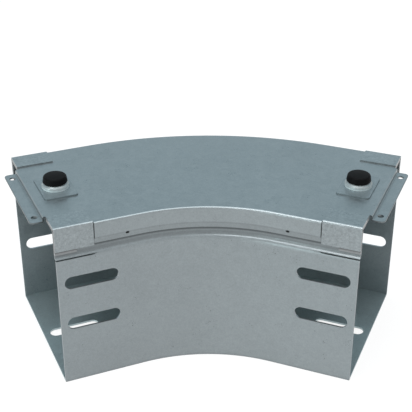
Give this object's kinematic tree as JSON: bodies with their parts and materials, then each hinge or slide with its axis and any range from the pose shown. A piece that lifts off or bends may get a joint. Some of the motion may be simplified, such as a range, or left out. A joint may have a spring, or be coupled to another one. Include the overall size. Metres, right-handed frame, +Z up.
{
  "type": "cable trunking bend",
  "caption": "Flat 45 degree bend of square covered metal trunking, with slotted ends, turned-down cover edges, joint tongues and black quarter-turn cover locks.",
  "frame": {"origin": "bottom centre of the part's box, on the underside of the base", "axes": "+X from the left end to the right end, +Y towards the outside of the bend, +Z up through the cover"},
  "size_m": [0.2468, 0.1268, 0.1121],
  "materials": {
    "duct_sheet": "satin",
    "cover_sheet": "satin",
    "lock_bar": "satin",
    "lock_metal": "bright zinc",
    "lock_knob": "semi-gloss"
  },
  "bodies": {
    "trunking": {"base_plate": "duct_sheet", "outer_wall": "duct_sheet", "inner_wall": "duct_sheet", "cover": "cover_sheet", "wall_bracket_outer_left": "duct_sheet", "wall_bracket_outer_right": "duct_sheet", "wall_bracket_inner_left": "duct_sheet", "wall_bracket_inner_right": "duct_sheet", "corner_cap_outer_left": "cover_sheet", "corner_cap_outer_right": "cover_sheet", "corner_cap_inner_left": "cover_sheet", "corner_cap_inner_right": "cover_sheet", "lock_plate_left": "cover_sheet", "lock_plate_right": "cover_sheet", "lock_cup_left": "lock_metal", "lock_cup_right": "lock_metal", "lock_spring_left": "lock_metal", "lock_spring_right": "lock_metal"},
    "left_lock": {"lock_knob_left": "lock_knob", "lock_spindle_left": "lock_metal", "lock_bar_left": "lock_bar", "lock_spacer_left": "lock_metal", "lock_nut_left": "lock_metal"},
    "right_lock": {"lock_knob_right": "lock_knob", "lock_spindle_right": "lock_metal", "lock_bar_right": "lock_bar", "lock_spacer_right": "lock_metal", "lock_nut_right": "lock_metal"}
  },
  "joints": [
    {"name": "left_lock_turn", "type": "hinge", "parent": "trunking", "child": "left_lock", "pos_m": [-0.08974, -0.01144, 0.1038], "axis": [0, 0, 1], "range_deg": [0, 90]},
    {"name": "right_lock_turn", "type": "hinge", "parent": "trunking", "child": "right_lock", "pos_m": [0.08974, -0.01144, 0.1038], "axis": [0, 0, 1], "range_deg": [0, 90]}
  ]
}
